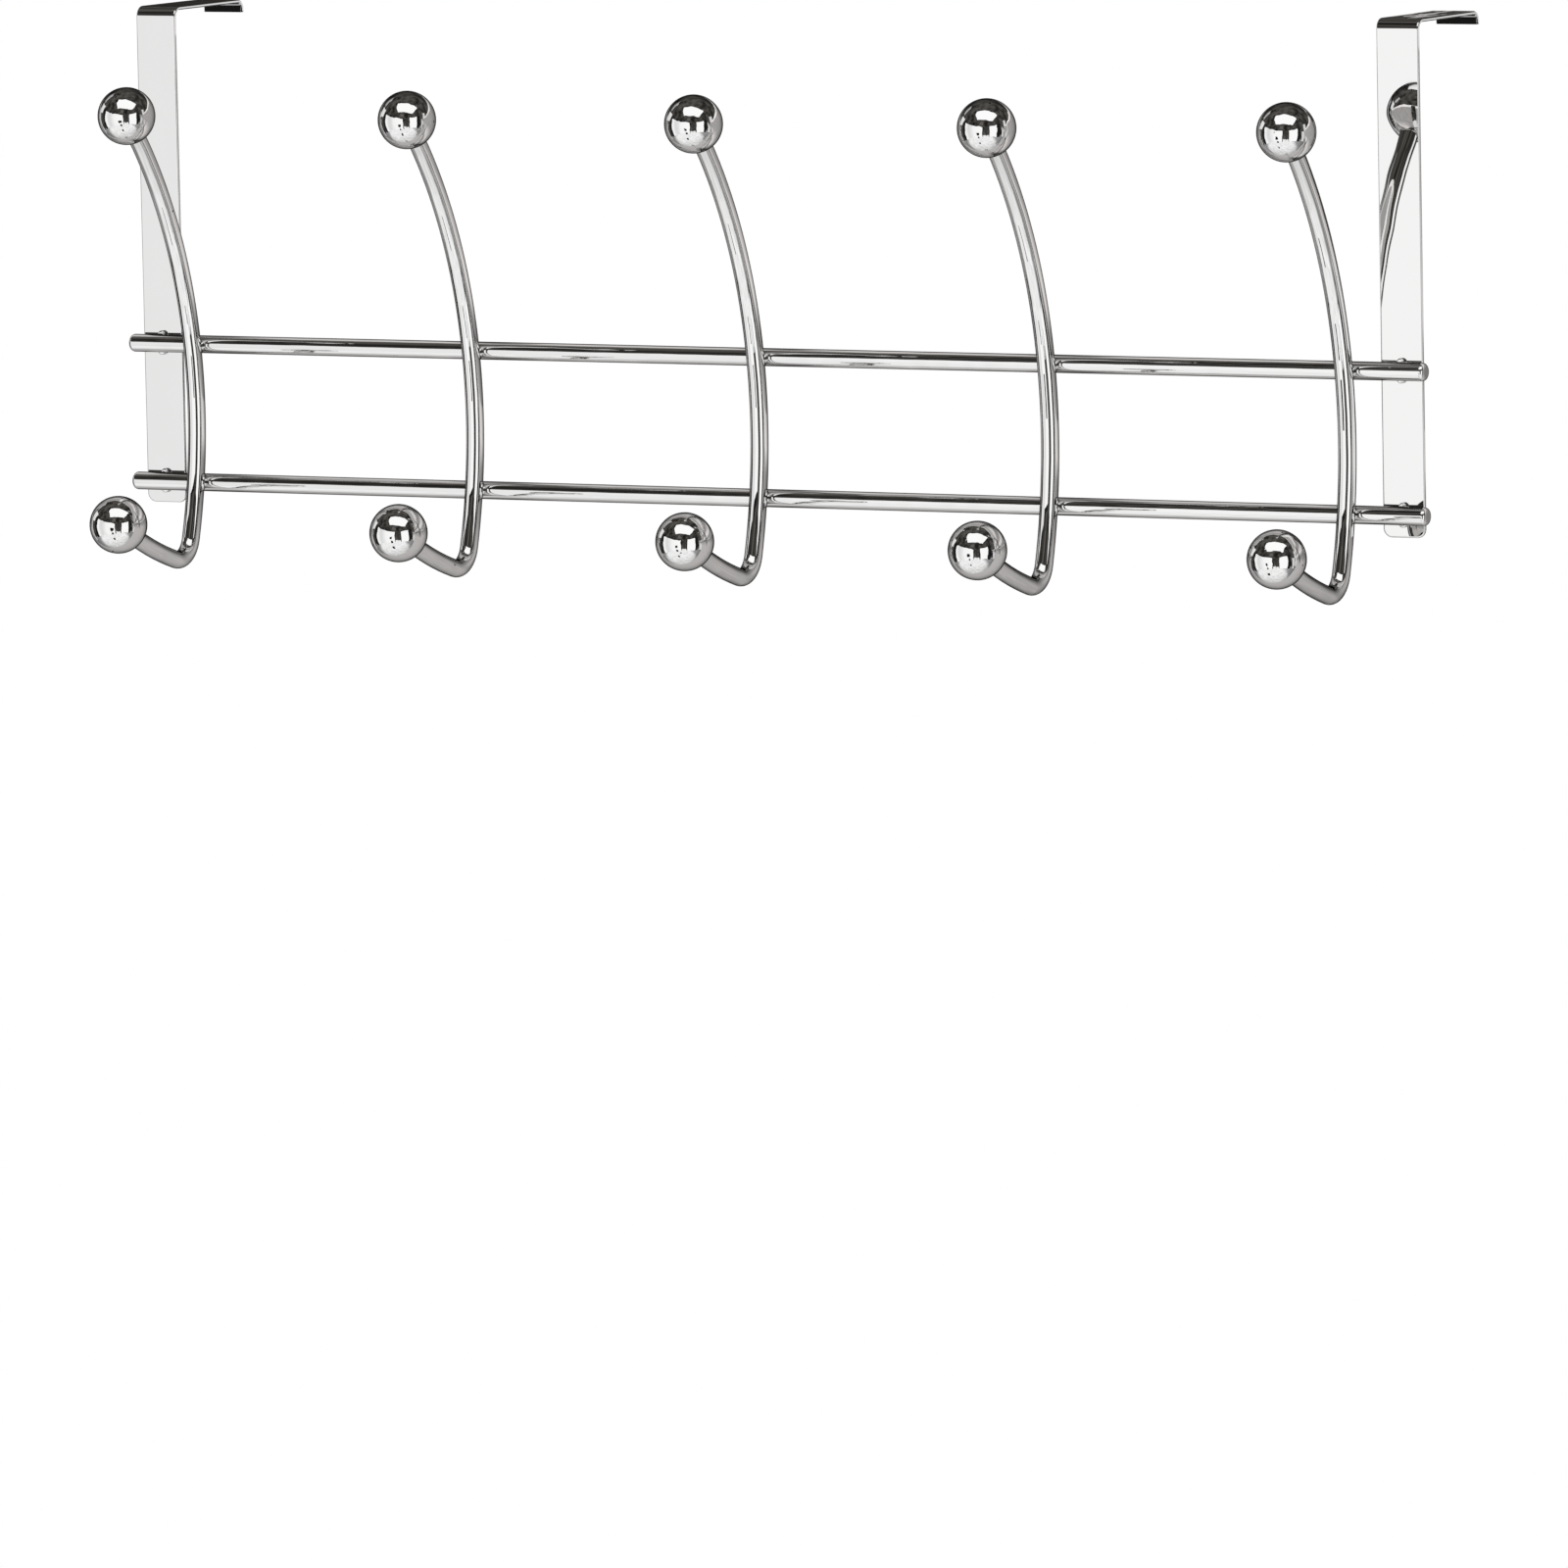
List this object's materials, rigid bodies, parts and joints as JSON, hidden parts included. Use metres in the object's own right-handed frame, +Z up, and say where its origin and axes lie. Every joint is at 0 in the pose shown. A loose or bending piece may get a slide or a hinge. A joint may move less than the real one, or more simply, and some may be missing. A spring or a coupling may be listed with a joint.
{
  "type": "over-door hook rack",
  "caption": "Chrome rack that hangs over the top of a door: double wire hooks with ball ends, welded across round bars on folded flat straps.",
  "frame": {"origin": "on the door's front face at its top edge, midway along the rack, where the straps fold over the door", "axes": "+X along the bars, +Y from the room into the door, +Z up"},
  "size_m": [0.45, 0.1086, 0.1749],
  "materials": {
    "chrome_wire": "bright chrome plate on drawn steel wire",
    "chrome_ball": "mirror chrome plate on turned balls",
    "chrome_strap": "bright chrome plate on folded strip",
    "chrome_weld": "chrome plate over weld metal"
  },
  "bodies": {
    "root": {"upper_bar": "chrome_wire", "lower_bar": "chrome_wire", "hook_wire_1": "chrome_wire", "hook_wire_2": "chrome_wire", "hook_wire_3": "chrome_wire", "hook_wire_4": "chrome_wire", "hook_wire_5": "chrome_wire", "upper_ball_1": "chrome_ball", "upper_ball_2": "chrome_ball", "upper_ball_3": "chrome_ball", "upper_ball_4": "chrome_ball", "upper_ball_5": "chrome_ball", "lower_ball_1": "chrome_ball", "lower_ball_2": "chrome_ball", "lower_ball_3": "chrome_ball", "lower_ball_4": "chrome_ball", "lower_ball_5": "chrome_ball", "strap_left": "chrome_strap", "strap_right": "chrome_strap", "hook_welds": "chrome_weld", "strap_welds": "chrome_weld"}
  },
  "joints": []
}
